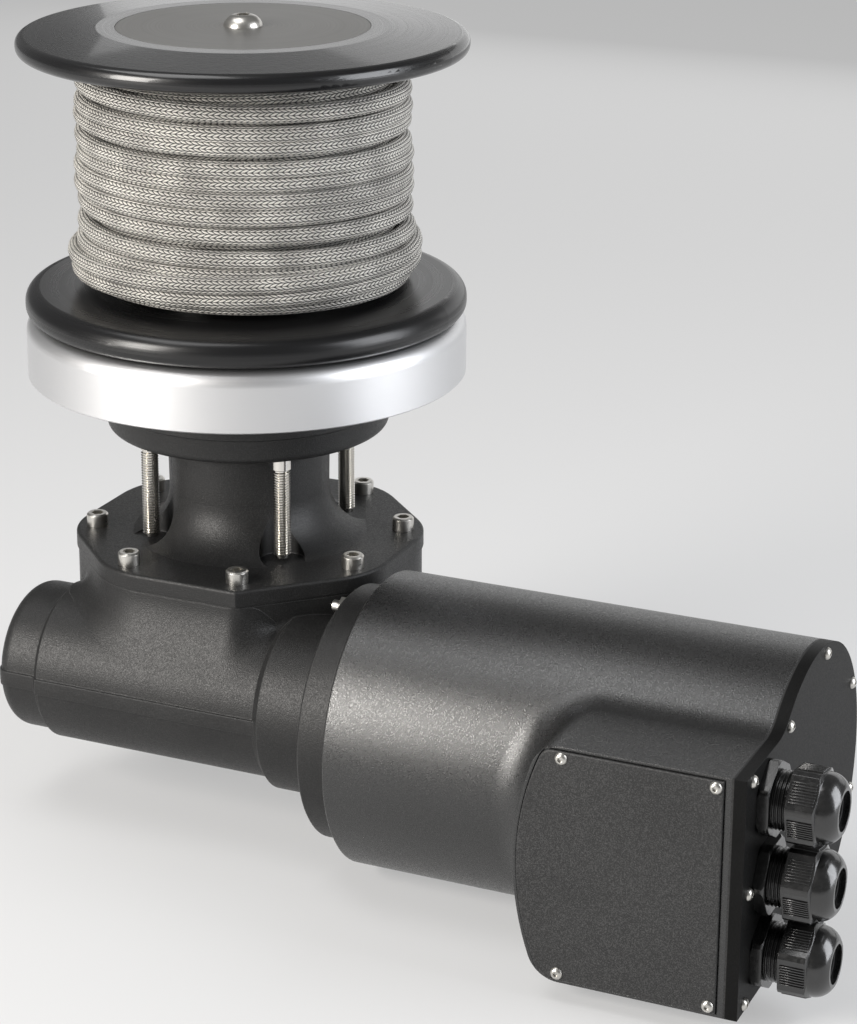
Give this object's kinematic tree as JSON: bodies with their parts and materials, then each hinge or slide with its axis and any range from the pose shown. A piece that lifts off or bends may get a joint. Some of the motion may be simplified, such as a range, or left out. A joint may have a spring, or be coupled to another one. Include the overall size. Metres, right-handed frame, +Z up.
{
  "type": "deck capstan",
  "caption": "Electric deck capstan: flanged rope drum above a deck ring, worm gearbox and motor with terminal box and cable glands below",
  "frame": {"origin": "on the drum's axis, in the plane of the deck, which is the underside of the base ring", "axes": "+Z up along the drum's axis, +X along the motor from the gearbox to the cable glands, +Y away from the terminal cover"},
  "size_m": [0.4235, 0.2533, 0.3621],
  "materials": {
    "black_gloss": "black lacquer, glossy",
    "black_satin": "black, satin",
    "bright_ring": "bright anodised, satin",
    "bronze": "machined bronze",
    "carbon": "black, matt",
    "casing_coat": "black powder coat",
    "copper": "lacquered copper",
    "ferrite": "ground ferrite",
    "gearbox_coat": "charcoal, matt cast surface",
    "gland_nylon": "black nylon, glossy",
    "grey_satin": "dark grey, satin",
    "rope": "braided cover, pale grey",
    "seal_rubber": "black rubber",
    "stainless": "stainless, turned",
    "steel": "machined steel"
  },
  "bodies": {
    "housing": {"brush_gear": "carbon", "brushes": "carbon", "cable_gland_bodies": "gland_nylon", "cable_gland_caps": "gland_nylon", "cable_gland_locknuts": "gland_nylon", "cable_gland_seals": "seal_rubber", "deck_base_ring": "bright_ring", "deck_studs": "stainless", "drum_bearings": "steel", "end_plate": "grey_satin", "end_plate_gasket": "seal_rubber", "end_plate_screws": "stainless", "field_magnets": "ferrite", "field_yoke": "steel", "gearbox_cover": "gearbox_coat", "gearbox_cover_gasket": "seal_rubber", "gearbox_cover_screws": "stainless", "gearbox_housing": "gearbox_coat", "motor_bearings": "steel", "motor_casing": "casing_coat", "motor_front_plate": "gearbox_coat", "rear_shield": "steel", "retaining_rings": "steel", "shaft_seal": "seal_rubber", "terminal_block": "carbon", "terminal_cover": "casing_coat", "terminal_cover_screws": "stainless", "terminal_gasket": "seal_rubber", "terminal_studs": "bronze", "tie_rod_nuts": "stainless", "tie_rods": "stainless", "worm_bearings": "steel"},
    "drum": {"drum_lower_flange": "black_satin", "drum_barrel": "black_satin", "drum_top_flange": "black_gloss", "drum_top_insert": "grey_satin", "drum_screws": "stainless", "drum_centre_screw": "stainless", "rope_winding": "rope", "output_shaft": "steel", "shaft_collar": "steel", "worm_wheel": "bronze", "drive_keys": "steel"},
    "rotor": {"worm_shaft": "steel", "shaft_coupling": "steel", "motor_shaft": "steel", "armature_core": "steel", "armature_windings": "copper", "commutator": "bronze"}
  },
  "joints": [
    {"name": "drum_turn", "type": "hinge", "parent": "housing", "child": "drum", "pos_m": [0, 0, 0], "axis": [0, 0, 1], "continuous": true},
    {"name": "motor_turn", "type": "hinge", "parent": "housing", "child": "rotor", "pos_m": [0.1, -0.056, -0.1343], "axis": [1, 0, 0], "continuous": true}
  ],
  "couplings": [
    {"joint": "motor_turn", "follows": "drum_turn", "ratio": -33}
  ]
}
